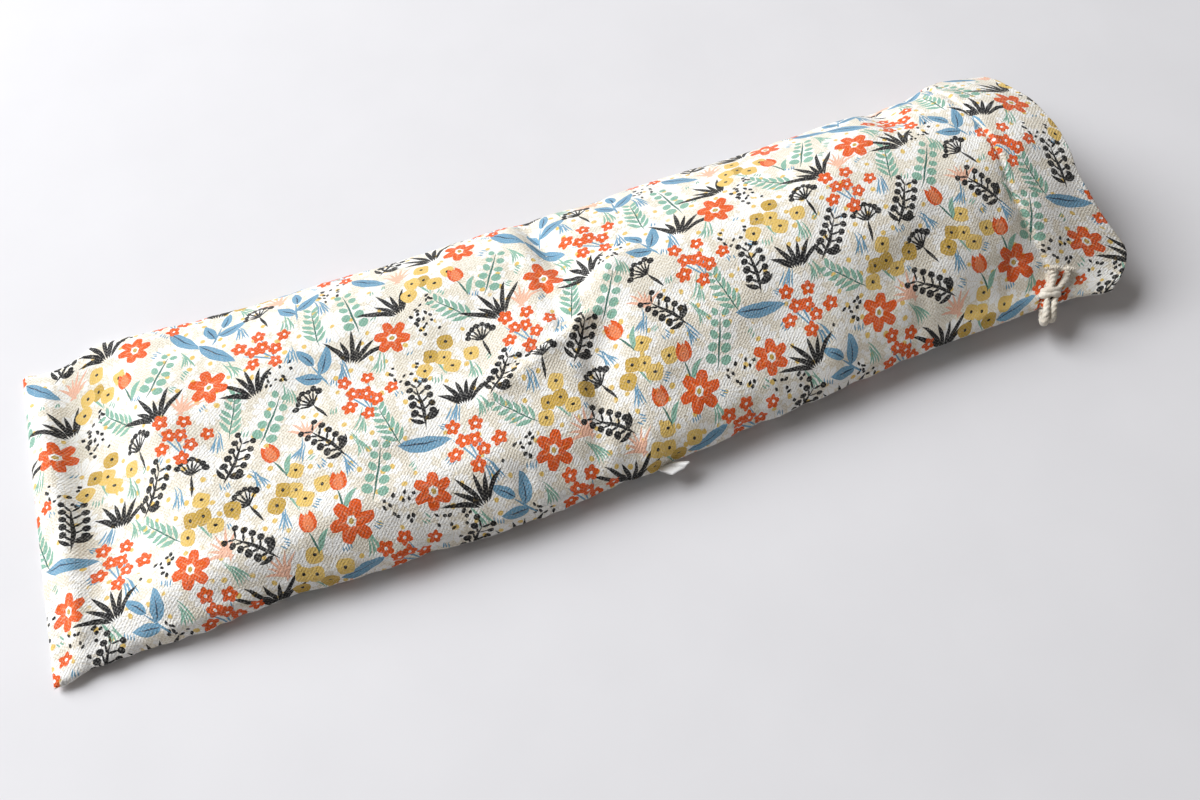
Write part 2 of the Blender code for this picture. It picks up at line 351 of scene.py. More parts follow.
# The knot: an overhand knot tied in both ends together and pulled tight. Its wraps show
# as slanting rounds of the same cord across the two ends.
KNOT_CENTRE = (588.6, -65.7, 25.2)
KNOT_TURN = -20.0
KNOT_TILT = 22.0
KNOT_HALF_WIDTH = 4.5     # of the wrap's own line, across the two ends
KNOT_HALF_HEIGHT = 2.7
KNOT_PITCH = 2.3
KNOT_SLANT = 0.9
KNOT_TURNS = 1.7
KNOT_START = -0.6         # angle at which the first wrap begins
KNOT_STEPS = 48
KNOT_UNEVEN = 0.13
WRAP_DIAMETER = 4.3
WRAP_LAY_TURNS = 2.5      # turns of the plies along the wraps
WRAP_PROFILE_POINTS = 24

knot_turn = Matrix.Rotation(math.radians(KNOT_TURN), 3, "Z")
knot_axes = knot_turn @ Matrix.Rotation(math.radians(KNOT_TILT), 3, "X")
knot_line = []
for i in range(KNOT_STEPS + 1):
    share = i / KNOT_STEPS
    angle = 2 * math.pi * KNOT_TURNS * share + KNOT_START
    tuck = 1 - 0.35 * abs(2 * share - 1) ** 6     # both ends of the wrap are tucked in
    local = Vector((
        KNOT_HALF_WIDTH * tuck * math.cos(angle),
        KNOT_PITCH * KNOT_TURNS * (share - 0.5) + KNOT_SLANT * math.cos(angle),
        KNOT_HALF_HEIGHT * tuck * math.sin(angle),
    ))
    point = on_bag(*KNOT_CENTRE) + knot_axes @ local * MM
    thickness = WRAP_DIAMETER / CORD_DIAMETER * (1 + KNOT_UNEVEN * math.sin(2.3 * angle + 0.8))
    knot_line.append((point, thickness, 2 * math.pi * WRAP_LAY_TURNS * share))
knot_mesh = curve_piece("drawcord_knot", [knot_line], profile_points=WRAP_PROFILE_POINTS)
knot_piece = add_piece("drawcord_knot", knot_mesh, cord_material, "cord", "cord_knot")

for name, side, extras in (
    ("cord_end_left", "left", [knot_piece, frayed_fibres]),
    ("cord_end_right", "right", []),
):
    piece = add_piece(
        name, cord_pieces[name], cord_material, "cord", f"cord_strand_{side}", f"cord_tail_{side}"
    )

# The cloth: one piece of printed slub cotton canvas, folded along the far side, sewn along
# the near side and across the end, and turned in at the mouth as a 50 mm hem. It lies filled
# out towards the mouth. Its form is that of the solid, with finer creases laid over it.
GIRTH = 400.0
HEM = 50.0
PLY = 1.0                 # thickness of one layer of canvas
SEAM_HEIGHT = 4.0
SEAM_BULGE = 1.5
REST_FROM = 0.38          # the underside touches the floor between these shares
REST_TO = 0.70
MOUTH_START = 440.0
END_ROUNDING = 3.0        # the two layers close together over this length at the end seam
Section = namedtuple("Section", "x near_y near_z far_y far_z crest share near_full far_full")
SECTIONS = [
    Section(0, -101.0, 3.5, 92.5, 2.0, 5.5, 0.50, 0.60, 0.60),
    Section(25, -97.5, 6.0, 91.0, 3.0, 11.0, 0.49, 0.55, 0.60),
    Section(45, -96.5, 5.5, 98.5, 4.0, 17.0, 0.48, 0.46, 0.60),
    Section(70, -96.4, 6.0, 98.5, 4.0, 24.0, 0.47, 0.42, 0.60),
    Section(120, -94.3, 7.0, 95.5, 5.0, 32.0, 0.45, 0.40, 0.60),
    Section(180, -95.3, 8.0, 95.5, 6.0, 36.0, 0.45, 0.40, 0.60),
    Section(250, -95.0, 8.5, 97.0, 7.0, 39.0, 0.46, 0.42, 0.60),
    Section(320, -90.1, 9.5, 97.0, 8.0, 44.0, 0.48, 0.46, 0.60),
    Section(390, -82.4, 11.0, 99.0, 8.0, 52.0, 0.50, 0.52, 0.60),
    Section(460, -76.2, 13.5, 98.0, 9.0, 61.0, 0.52, 0.62, 0.60),
    Section(525, -71.0, 16.0, 101.5, 10.0, 67.0, 0.54, 0.75, 0.60),
    Section(570, -69.0, 17.0, 102.0, 10.0, 67.0, 0.55, 0.88, 0.60),
    Section(602, -68.0, 18.0, 107.0, 11.0, 65.0, 0.56, 0.98, 0.62),
    Section(633, -72.5, 19.0, 108.0, 11.0, 60.0, 0.56, 1.10, 0.65),
]
MouthPoint = namedtuple("MouthPoint", "share reach")
MOUTH_LINE = [
    MouthPoint(0.00, -5.0), MouthPoint(0.02, 0.5), MouthPoint(0.05, 7.0), MouthPoint(0.10, 11.5),
    MouthPoint(0.15, 8.0), MouthPoint(0.20, 4.0), MouthPoint(0.35, -3.5), MouthPoint(0.50, -4.0),
    MouthPoint(0.65, -5.0), MouthPoint(0.80, -8.0), MouthPoint(0.92, -5.5), MouthPoint(1.00, 2.0),
]
# Each fold is a soft ridge or trough along a line at an angle from +x.
Fold = namedtuple("Fold", "x y angle length half_width height")
FOLDS = [
    Fold(30, -5, 96, 130, 15, -4.0),
    Fold(160, -72, 3, 250, 16, 4.5),
    Fold(190, 5, 4, 220, 24, -4.0),
    Fold(215, 62, 2, 170, 20, 2.5),
    Fold(318, 62, 100, 80, 9, -6.5),
    Fold(326, -25, 78, 90, 13, -5.5),
    Fold(292, -15, 22, 90, 11, 3.0),
    Fold(336, 12, 48, 60, 10, 4.5),
    Fold(425, 20, 6, 170, 22, 3.5),
    Fold(400, -50, 12, 130, 16, -3.5),
    Fold(545, 78, 80, 60, 11, -5.0),
    Fold(583, 84, 85, 60, 10, 4.0),
    Fold(586, -20, 80, 110, 6, -1.6),
    Fold(500, -38, 30, 90, 14, -3.0),
    # Finer creases, which the solid leaves out
    Fold(13, -5, 94, 190, 10, 9.8),
    Fold(47, 8, 97, 130, 19, -9.6),
    Fold(84, -2, 99, 120, 14, 3.0),
    Fold(315, 74, 96, 44, 4, -3.0),
    Fold(305, 66, 98, 60, 5, 2.4),
    Fold(309, 20, 92, 60, 4, -2.4),
    Fold(316, -40, 80, 60, 5, -2.4),
    Fold(296, -9, 24, 96, 4, -2.8),
    Fold(290, -17, 23, 80, 4, 1.8),
    Fold(260, -86, 70, 26, 4, -2.4),
    Fold(302, -86, 75, 30, 5, -3.0),
    Fold(313, -84, 80, 26, 4, 1.4),
    Fold(327, -82, 70, 30, 4, -1.8),
    Fold(372, -78, 60, 22, 5, -1.2),
    Fold(440, -68, 50, 26, 5, -1.4),
    Fold(505, -60, 62, 30, 5, -1.5),
    Fold(548, 86, 84, 36, 5, -2.0),
    Fold(560, 72, 74, 40, 6, 1.4),
    Fold(566, -52, 62, 34, 5, -1.5),
    Fold(140, 30, 12, 120, 9, 1.1),
    Fold(96, -30, 150, 70, 8, -1.3),
    Fold(68, 46, 110, 60, 8, 1.2),
    Fold(230, -40, 170, 110, 8, 1.0),
    Fold(382, 52, 20, 90, 9, -1.3),
    Fold(452, -8, 172, 100, 10, 1.2),
    Fold(520, 30, 155, 70, 9, -1.1),
]


def row_values(rows, keys):
    """Smooth values of a table's columns at each key, through its rows."""
    table = np.array(rows, float)
    marks = table[:, 0]
    slopes = np.gradient(table, marks, axis=0)
    i = np.clip(np.searchsorted(marks, keys) - 1, 0, len(marks) - 2)
    span = (marks[i + 1] - marks[i])[:, None]
    t = ((keys - marks[i])[:, None]) / span
    start = (1 + 2 * t) * (1 - t) ** 2 * table[i] + t * (1 - t) ** 2 * span * slopes[i]
    end = t * t * (3 - 2 * t) * table[i + 1] + t * t * (t - 1) * span * slopes[i + 1]
    return (start + end).T


def ring_table(x, steps):
    """The cloth's rings at stations x: points evenly spaced from the near seam, over and under."""
    columns = row_values(SECTIONS, x)[:, :, None]
    _, near_y, near_z, far_y, far_z, crest, peak, near_full, far_full = columns
    # over: shares across the bag, closer together towards both sides
    even = np.linspace(0, 1, 181)
    over = (0.5 * even + 0.25 * (1 - np.cos(math.pi * even)))[None, :]
    y = near_y + (far_y - near_y) * over
    # The upper layer: an arch over the two edges, with the folds laid on it
    edge = near_z + (far_z - near_z) * over + SEAM_HEIGHT / 2
    edge_at_crest = near_z + (far_z - near_z) * peak + SEAM_HEIGHT / 2
    skew = math.log(0.5) / np.log(peak)
    ease = over * over * (3 - 2 * over)
    full = near_full + (far_full - near_full) * ease
    arch = np.maximum(0, np.sin(math.pi * over ** skew)) ** full
    hold = np.minimum(1, np.minimum(12 * over, 12 * (1 - over))) * np.minimum(1, x[:, None] / 20)
    folds = 0
    for fold in FOLDS:
        angle = math.radians(fold.angle)
        along = (x[:, None] - fold.x) * math.cos(angle) + (y - fold.y) * math.sin(angle)
        across = (y - fold.y) * math.cos(angle) - (x[:, None] - fold.x) * math.sin(angle)
        profile = np.exp(-(2 * along / fold.length) ** 4 - (across / fold.half_width) ** 2)
        folds = folds + fold.height * profile
    top = edge + (crest - edge_at_crest) * arch + hold * folds
    # The underside: on the floor in the middle, raised towards both edges
    near_lift = np.maximum(0, 1 - over / REST_FROM) ** 2 * (near_z - SEAM_HEIGHT / 2)
    far_lift = np.maximum(0, (over - REST_TO) / (1 - REST_TO)) ** 2 * (far_z - SEAM_HEIGHT / 2)
    under = near_lift + far_lift
    # The layers close together at the end seam
    middle = (top + under) / 2
    close = np.sqrt(1 - (1 - np.minimum(1, (x + 0.15) / END_ROUNDING)) ** 2)[:, None]
    top = middle + (top - middle) * close
    under = middle + (under - middle) * close
    # The mouth's rim reaches more or less far out
    pull = (np.maximum(0, (x - MOUTH_START) / (LENGTH - MOUTH_START)) ** 2)[:, None]
    reach = row_values(MOUTH_LINE, over[0])[1]
    ends = reach[0] * (1 - over) + reach[-1] * over
    top_x = x[:, None] + pull * reach
    under_x = x[:, None] + pull * ends
    # Both edges are rounded, and the ring starts at the middle of the near one
    around = np.linspace(0, math.pi, 9)[1:-1]
    bulge = SEAM_BULGE * np.sin(around)
    far_x, far_mid, far_half = top_x[:, -1:], (top + under)[:, -1:] / 2, (top - under)[:, -1:] / 2
    near_x, near_mid, near_half = top_x[:, :1], (top + under)[:, :1] / 2, (top - under)[:, :1] / 2
    far_edge, near_edge = far_mid + far_half * np.cos(around), near_mid - near_half * np.cos(around)
    ring = np.stack([np.concatenate(parts, 1) for parts in (
        (top_x, far_x + 0 * around, under_x[:, ::-1], near_x + 0 * around),
        (y, far_y + bulge, y[:, ::-1], near_y - bulge),
        (top, far_edge, under[:, ::-1], near_edge),
    )], -1)
    ring = np.roll(ring, (len(around) + 1) // 2, axis=1)
    ring = np.concatenate([ring, ring[:, :1]], 1)
    # Points are then spaced evenly round it
    walk = np.linalg.norm(np.diff(ring, axis=1), axis=2).cumsum(1)
    table = np.empty((len(x), steps + 1, 3))
    for row, path, out in zip(ring, walk, table):
        path = np.concatenate([[0], path])
        for k in range(3):
            out[:, k] = np.interp(np.linspace(0, path[-1], steps + 1), path, row[:, k])
    return table


STATION = 2.0             # spacing of the table's rings
RING_STEPS = 200
stations = np.arange(0, LENGTH + 2 * STATION, STATION)
cloth_rings = ring_table(np.minimum(stations, LENGTH), RING_STEPS)
beyond = stations > LENGTH
cloth_rings[beyond, :, 0] += (stations[beyond] - LENGTH)[:, None]


def cubic_weights(t):
    """How much each of four neighbours counts at share t between the middle two."""
    return np.stack([
        (-t + 2 * t ** 2 - t ** 3) / 2, (2 - 5 * t ** 2 + 3 * t ** 3) / 2,
        (t + 4 * t ** 2 - 3 * t ** 3) / 2, (-t ** 2 + t ** 3) / 2,
    ], -1)


def ring_point(x, v):
    """Points in mm on the cloth's form at x along it and v round it."""
    a = np.clip(x / STATION, 0, len(stations) - 1.001)
    b = v / GIRTH * RING_STEPS
    i, j = np.floor(a).astype(int), np.floor(b).astype(int)
    wa, wb = cubic_weights(a - i), cubic_weights(b - j)
    total = np.zeros((len(x), 3))
    for m in range(4):
        rows = np.clip(i + m - 1, 0, len(stations) - 1)
        for n in range(4):
            columns = (j + n - 1) % RING_STEPS
            total += (wa[:, m] * wb[:, n])[:, None] * cloth_rings[rows, columns]
    return total


# What sewing does to the cloth, in mm: heights, and how far each reaches from its seam.
CASING_LINE = 586.0       # the hem's row of stitches, from the sewn end
STITCH_DIP = 0.9
STITCH_DIP_REACH = 1.8
HEM_STEP = 1.3            # from the stitches to the rim the cloth is double
HEM_STEP_REACH = 30.0
GATHER = 0.9              # small gathers that the drawcord leaves along its casing
GATHER_REACH = 16.0
PUCKER = 1.1              # along the near seam
PUCKER_REACH = 11.0
ALLOWANCE_AT = 9.0        # the seam allowance inside raises the cloth here, from the seam
ALLOWANCE_RISE = 0.9
ALLOWANCE_REACH = 3.0
Crinkle = namedtuple("Crinkle", "size height")
CRINKLES = [Crinkle(40.0, 1.50), Crinkle(17.0, 0.85), Crinkle(8.0, 0.30)]
ASIDE = 0.7               # the cloth's slope is told from points this far to either side


def surface(x, v, depth):
    """Points in metres on the cloth, at a depth in mm below its outer face."""
    v = np.mod(v, GIRTH)
    point = ring_point(x, v)
    along = ring_point(x + ASIDE, v) - ring_point(x - ASIDE, v)
    around = ring_point(x, v + ASIDE) - ring_point(x, v - ASIDE)
    outward = np.cross(along, around)
    outward /= np.linalg.norm(outward, axis=1)[:, None]
    from_seam = np.minimum(v, GIRTH - v)
    past_casing = x - CASING_LINE
    pucker, gather = np.empty(len(point)), np.empty(len(point))
    soft = np.empty(len(point))
    for i, (a, b, c) in enumerate(point):
        soft[i] = sum(k.height * noise.noise(Vector((a, b, c)) / k.size) for k in CRINKLES)
        pucker[i] = noise.noise(Vector((a / 7.5, b / 60, 3.7)))
        gather[i] = noise.noise(Vector((a / 40, b / 5.5, c / 30 + 9.1)))
    soft += PUCKER * pucker * np.exp(-(from_seam / PUCKER_REACH) ** 2)
    rise = np.exp(-((from_seam - ALLOWANCE_AT) / ALLOWANCE_REACH) ** 2)
    soft += ALLOWANCE_RISE * rise * np.clip(x / 12, 0, 1)
    soft += GATHER * gather * np.exp(-(past_casing / GATHER_REACH) ** 2)
    soft -= STITCH_DIP * np.exp(-(past_casing / STITCH_DIP_REACH) ** 2)
    step = np.clip(past_casing / 1.5, 0, 1)
    soft += HEM_STEP * step * np.exp(-(past_casing / HEM_STEP_REACH) ** 2)
    soft *= np.clip(x / 6, 0, 1) * np.clip((point[:, 2] - 0.4) / 2.5, 0.0, 1)
    point += outward * (soft - depth)[:, None]
    point[:, 2] = np.maximum(point[:, 2], depth)
    point[:, 0] -= LENGTH / 2
    return point * MM


# The print: a dense meadow of small plain flowers, leaves and twigs in a repeat of 200 mm.
# Each motif is a list of ink outlines in mm, drawn upright about its own middle.
TILE = 200.0
HAND = 0.9                # how far a hand-painted outline strays from true
BRUSH_SWAY = 6.0
INKS = {
    "cloth": linear("#E8E3D4", 0.0),
    "white": linear("#FAF9F6", 0.95),
    "orange": linear("#E4590B"),
    "coral": linear("#EE8452"),
    "peach": linear("#F3BDA2"),
    "mustard": linear("#E8C46C"),
    "ochre": linear("#C9A448"),
    "blue": linear("#6F9FBD"),
    "navy": linear("#2F4A62"),
    "mint": linear("#86B5A1"),
    "green": linear("#3C6F62"),
    "black": linear("#101114"),
    "reverse": linear("#EAE2D2"),
}
INK_NAMES = list(INKS)


def rounded(ink, radius, lobes=0, cleft=0.0, narrow=1.0, count=12, turn=0.0, x=0.0, y=0.0):
    """A round shape, or a flower's outline with clefts between its lobes."""
    shape = []
    for i in range(count):
        a = 2 * math.pi * i / count
        out = radius * (1 - cleft * (0.5 - 0.5 * math.cos(lobes * a)) ** narrow)
        shape.append((x + out * math.cos(a + turn), y + out * math.sin(a + turn)))
    return ink, shape


def blade(ink, x, y, length, width, turn, bend=0.0, full=1.0, count=5):
    """A leaf, petal or brush stroke from its foot, bent sideways towards its tip."""
    left, right = [], []
    angle = math.radians(turn)
    for i in range(count + 1):
        t = i / count
        half = width / 2 * math.sin(math.pi * t ** 0.85) ** full if 0 < i < count else 0.0
        centre = (length * t, bend * length * t * t)
        slope = math.hypot(1, 2 * bend * t)
        side = (-2 * bend * t / slope * half, half / slope)
        for points, sign in ((left, 1), (right, -1)):
            a, b = centre[0] + sign * side[0], centre[1] + sign * side[1]
            points.append((
                x + a * math.cos(angle) - b * math.sin(angle),
                y + a * math.sin(angle) + b * math.cos(angle),
            ))
    return ink, right + left[-2:0:-1]


def rosette(chance):
    """A large six-petalled flower with paler veins and a white middle."""
    size = chance.uniform(10.0, 12.5)
    shapes = [rounded("orange", size, 6, 0.42, 3.0, 36)]
    for k in range(6):
        shapes.append(blade("coral", 0, 0, size * 0.72, 1.1, 60 * k + chance.uniform(-6, 6)))
    shapes.append(rounded("white", 2.9, 6, 0.15, 1.0, 12))
    shapes.append(rounded("ochre", 1.5, count=7))
    return shapes


def tulip(chance):
    """A small cup-shaped flower on a leafy stalk."""
    tall = chance.uniform(11, 13)
    return [
        blade("green", 0, -15, 15, 1.2, 90, 0.1),
        blade("mint", 0.3, -13, 13, 3.6, 62, -0.2),
        blade("orange", 0, -2, tall, 6.0, 118, -0.30, 0.8),
        blade("orange", 0, -2, tall, 6.0, 62, 0.30, 0.8),
        blade("coral", 0, -2, tall * 0.95, 5.4, 90, 0.0, 0.8),
    ]


def cluster(count, gap, chance, flower):
    """Small flowers in a loose round head, with some air between them."""
    shapes = []
    for k in range(count):
        out = gap * math.sqrt(k) * 0.98
        turn = k * 2.39996 + 0.4
        x = out * math.cos(turn) + chance.uniform(-0.7, 0.7)
        y = out * math.sin(turn) * 0.82 + chance.uniform(-0.7, 0.7)
        shapes += flower(x, y, chance)
    return shapes


def cross_flower(x, y, chance):
    """One tiny orange flower of a cluster."""
    turn = chance.uniform(0, 1.5)
    return [
        rounded("orange", chance.uniform(4.2, 4.9), 5, 0.36, 1.6, 20, turn, x, y),
        rounded("white", 1.0, count=6, x=x, y=y),
    ]


def button_flower(x, y, chance):
    """One round yellow flower of a cluster, with a dark middle."""
    turn = chance.uniform(0, 1)
    ink = "ochre" if chance.random() < 0.3 else "mustard"
    return [
        rounded(ink, chance.uniform(4.7, 5.4), 4, 0.13, 1.0, 16, turn, x, y),
        rounded("black", 1.0, count=6, x=x, y=y),
    ]


def orange_head(chance):
    """A head of tiny orange flowers on three stalks."""
    stalks = [blade("blue", 0, -14, 22, 1.2, 90 + turn, 0.2) for turn in (-18, 4, 22)]
    return stalks + cluster(8, 6.6, chance, cross_flower)


def mustard_head(chance):
    """A head of round yellow flowers on two stalks."""
    stalks = [blade("mint", 0, -13, 18, 1.3, 90 + turn, 0.15) for turn in (-14, 12)]
    return stalks + cluster(6, 7.2, chance, button_flower)


def blue_sprig(chance):
    """Three blue leaves with dark ribs on one stalk."""
    shapes = [blade("blue", 0, -15, 18, 1.5, 90, 0.05)]
    leaves = ((0, -6, 18, 34, 0.22), (0, -9, 16, 150, -0.2), (0.5, 1, 15, 98, 0.1))
    for x, y, length, turn, bend in leaves:
        shapes.append(blade("blue", x, y, length, length * 0.42, turn, bend, 0.7, 9))
        shapes.append(blade("navy", x, y, length * 0.78, 0.95, turn, bend))
    return shapes


def blue_leaf(chance):
    """One long blue leaf with a dark rib."""
    long = chance.uniform(24, 30)
    return [
        blade("blue", -long / 2, 0, long, 8.2, 0, 0.16, 0.8, 9),
        blade("navy", -long / 2, 0, long * 0.8, 0.95, 0, 0.16),
    ]


def coin_sprig(chance):
    """Round mint leaves in pairs up a stalk."""
    shapes = [blade("green", 0, -18, 35, 1.2, 90, 0.10)]
    for k in range(5):
        y = -12 + 6.4 * k
        x = 0.10 * (y + 18) ** 2 / 35 * -1
        for side in (-1, 1):
            size = 3.3 - 0.25 * k
            leaf_x = x + side * (size + 0.9)
            shapes.append(rounded("mint", size, 2, 0.18, 1.0, 9, 0.5 * side, leaf_x, y + 1.5))
    return shapes


def willow_twig(chance):
    """Narrow mint leaves in pairs up a bent twig."""
    shapes = [blade("green", 0, -15, 31, 1.1, 90, -0.12)]
    for k in range(6):
        y = -11 + 4.6 * k
        x = 0.12 * (y + 15) ** 2 / 31
        shapes.append(blade("mint", x, y, 10 - 0.8 * k, 2.7, 38, 0.15, 0.8, 4))
        shapes.append(blade("mint", x, y + 1.5, 10 - 0.8 * k, 2.7, 142, -0.15, 0.8, 4))
    return shapes


def berry_twig(chance):
    """A dark twig with berries on both sides."""
    shapes = [blade("black", 0, -14, 28, 2.3, 90, 0.14)]
    for k in range(5):
        y = -8 + 4.9 * k
        x = -0.14 * (y + 14) ** 2 / 28
        for side in (-1, 1):
            shapes.append(blade("black", x, y, 6.0, 1.5, 90 - side * 52, 0.1 * side, count=3))
            shapes.append(rounded("black", 2.3 - 0.12 * k, count=8, x=x + side * 5.2, y=y + 4.2))
    shapes.append(blade("black", 0.0, -9, 10, 3.2, 20, 0.2, 0.8))
    shapes.append(blade("black", -0.2, -11, 9, 3.0, 160, -0.2, 0.8))
    return shapes


def dark_tuft(chance):
    """A fan of broad dark blades."""
    shapes = []
    for k in range(6):
        turn = 124 - 14 * k + chance.uniform(-3, 3)
        long = chance.uniform(14, 23)
        shapes.append(blade("black", -3 + 1.2 * k, -9, long, 2.9, turn, -0.12 * (k - 2.5), 0.7, 6))
    return shapes


def dark_umbel(chance):
    """Seven dark stalks from one point, each with a bead at its end."""
    shapes = [blade("black", 0, -13, 14, 2.0, 90)]
    for k in range(7):
        turn = 30 + 20 * k
        long = chance.uniform(8.5, 10.5)
        a = math.radians(turn)
        shapes.append(blade("black", 0, 0, long, 1.4, turn, count=3))
        shapes.append(rounded("black", 1.9, count=8, x=long * math.cos(a), y=long * math.sin(a)))
    return shapes


def peach_reeds(chance):
    """A fan of pale reeds."""
    return [
        blade(
            "peach", 0.8 * k - 1, -8, chance.uniform(13, 19), 2.0,
            52 + 14 * k, 0.12 * (k - 2.5), 0.8,
        )
        for k in range(6)
    ]


def grass(ink):
    """Draws thin bent blades in that ink."""
    def draw(chance):
        return [
            blade(
                ink, 2.0 * k - 4, -6 + chance.uniform(-1, 1), chance.uniform(9, 17), 1.15,
                66 + 8 * k + chance.uniform(-6, 6), chance.uniform(0.15, 0.35), count=4,
            )
            for k in range(5)
        ]
    return draw


def ticks(ink):
    """Draws a few short strokes in that ink."""
    def draw(chance):
        return [
            blade(
                ink, 1.7 * k - 2.5, chance.uniform(-1, 1), chance.uniform(3, 5.5), 1.0,
                82 + chance.uniform(-9, 9), count=3,
            )
            for k in range(chance.choice((2, 3, 4)))
        ]
    return draw


def seeds(chance):
    """A scatter of short dark seeds."""
    return [
        blade(
            "black", chance.uniform(-9, 9), chance.uniform(-8, 8), chance.uniform(2.2, 3.6), 2.0,
            chance.uniform(30, 150), 0.0, 0.6, 3,
        )
        for _ in range(13)
    ]


Motif = namedtuple("Motif", "draw count reach lean")
MOTIFS = [
    Motif(seeds, 9, 8.0, 20),
    Motif(ticks("blue"), 26, 3.5, 60),
    Motif(ticks("mint"), 14, 3.5, 60),
    Motif(grass("mint"), 14, 6.0, 35),
    Motif(grass("blue"), 12, 6.0, 35),
    Motif(peach_reeds, 6, 8.0, 40),
    Motif(coin_sprig, 4, 12.5, 50),
    Motif(willow_twig, 5, 11.0, 60),
    Motif(blue_sprig, 4, 12.0, 45),
    Motif(blue_leaf, 5, 10.5, 70),
    Motif(dark_umbel, 5, 10.0, 40),
    Motif(dark_tuft, 8, 9.5, 35),
    Motif(berry_twig, 6, 12.0, 60),
    Motif(mustard_head, 5, 13.5, 30),
    Motif(orange_head, 6, 15.0, 30),
    Motif(tulip, 4, 9.0, 30),
    Motif(rosette, 6, 12.0, 180),
]


TRIES = 400               # places tried for each motif


def tile_gap(a, b):
    """Distances between points of the repeat, the short way round."""
    step = np.abs(a[:, None, :] - b[None, :, :])
    return np.linalg.norm(np.minimum(step, TILE - step), axis=2)


def lay_out(chance):
    """All outlines of one repeat, the largest motifs placed first and each in the widest gap."""
    order = sorted(range(len(MOTIFS)), key=lambda k: -MOTIFS[k].reach)
    spots, reaches, placed = np.empty((0, 2)), np.empty(0), []
    for k in order:
        for _ in range(MOTIFS[k].count):
            tries = [[chance.uniform(0, TILE), chance.uniform(0, TILE)] for _ in range(TRIES)]
            tries = np.array(tries)
            room = (tile_gap(tries, spots) - reaches).min(1) if len(spots) else np.zeros(TRIES)
            spot = tries[room.argmax()]
            spots, reaches = np.vstack([spots, spot]), np.append(reaches, MOTIFS[k].reach)
            placed.append((k, spot))
    outlines = []
    for k, (x, y) in sorted(placed, key=lambda item: item[0]):
        turn = math.radians(chance.uniform(-MOTIFS[k].lean, MOTIFS[k].lean))
        c, s = math.cos(turn), math.sin(turn)
        for ink, shape in MOTIFS[k].draw(chance):
            drawn = []
            for a, b in shape:
                sway = noise.noise_vector(Vector((a, b, k * 7.3)) / BRUSH_SWAY)
                a, b = a + HAND * sway.x, b + HAND * sway.y
                drawn.append((x + c * a - s * b, y + s * a + c * b))
            outlines.append((ink, np.array(drawn)))
    return outlines


def print_tile(outlines, spacing):
    """One repeat as triangles: their corners in mm and the ink of each."""
    steps = round(TILE / spacing)
    marks = np.arange(steps) * TILE / steps
    border = [(m, 0) for m in marks] + [(TILE, m) for m in marks]
    border += [(TILE - m, TILE) for m in marks] + [(0, TILE - m) for m in marks]
    points, faces, inks = list(border), [list(range(len(border)))], ["cloth"]
    for ink, shape in outlines:
        for dx in (-TILE, 0, TILE):
            for dy in (-TILE, 0, TILE):
                moved = shape + (dx, dy)
                if (moved.max(0) > 0).all() and (moved.min(0) < TILE).all():
                    faces.append(list(range(len(points), len(points) + len(moved))))
                    points += [tuple(p) for p in moved]
                    inks.append(ink)
    drawn = np.array(points)
    for i in range(1, steps):
        for j in range(1, steps):
            spot = np.array(((i + 0.5 * (j % 2) - 0.25) * TILE / steps, j * TILE / steps))
            if np.abs(drawn - spot).sum(1).min() > 0.5 * spacing:
                points.append(tuple(spot))
    verts, _, tris, _, _, owners = delaunay_2d_cdt([Vector(p) for p in points], [], faces, 0, 1e-4)
    kept = [(tri, inks[max(own)]) for tri, own in zip(tris, owners) if 0 in own]
    return np.array([tuple(v) for v in verts]), [t for t, _ in kept], [i for _, i in kept]


GRID = 5.8                # spacing of the cloth's own points between the motifs
WELD = 0.003
HEM_TURN = math.pi * PLY  # cloth used in turning over the rim
CLOTH_CUT = LENGTH + HEM_TURN + HEM
EXTRA_ROWS = [1.0, 2.2, 4.5] + [CASING_LINE + d for d in (-3, -1.2, 0, 1.2, 3)]
EXTRA_ROWS += [LENGTH + HEM_TURN * k / 6 for k in range(7)] + [CASING_LINE + HEM - 4]
noise.seed_set(11)        # so that every outline strays the same way each time
tile_points, tile_faces, tile_inks = print_tile(lay_out(random.Random(11)), GRID)
bm = bmesh.new()
for i in range(math.ceil(CLOTH_CUT / TILE)):
    for j in range(round(GIRTH / TILE)):
        verts = {}
        for face, ink in zip(tile_faces, tile_inks):
            for k in face:
                if k not in verts:
                    spot = (tile_points[k][0] + i * TILE, tile_points[k][1] + j * TILE, 0)
                    verts[k] = bm.verts.new(spot)
            bm.faces.new([verts[k] for k in face]).material_index = INK_NAMES.index(ink)
bmesh.ops.remove_doubles(bm, verts=bm.verts, dist=WELD)
for row in EXTRA_ROWS + [CLOTH_CUT]:
    bmesh.ops.bisect_plane(
        bm, geom=bm.verts[:] + bm.edges[:] + bm.faces[:], dist=0.02,
        plane_co=(row, 0, 0), plane_no=(1, 0, 0), clear_outer=row == CLOTH_CUT,
    )

# The reverse side: the same canvas unprinted, one layer in, from the hem to the end seam.
# It is laid out flat beyond the hem's cut edge, joined to it by a strip of triangles, and
# all is rolled up together.
REVERSE_GRID = 6.25
REVERSE_END = 4.0
HEM_EDGE = LENGTH - HEM
REVERSE_START = CLOTH_CUT + 1.0
REVERSE_LONG = HEM_EDGE - REVERSE_END
NEAR = 0.03               # how closely a point's place along the bag is told
rows, columns = round(REVERSE_LONG / REVERSE_GRID), round(GIRTH / REVERSE_GRID)
lining = bmesh.ops.create_grid(bm, x_segments=rows, y_segments=columns, size=0.5)["verts"]
for vert in lining:
    along, around = vert.co.x + 0.5, vert.co.y + 0.5
    vert.co = (REVERSE_START + REVERSE_LONG * along, GIRTH * around, 0)
cut, lap = (
    sorted((vert for vert in bm.verts if abs(vert.co.x - place) < NEAR), key=lambda vert: vert.co.y)
    for place in (CLOTH_CUT, REVERSE_START)
)
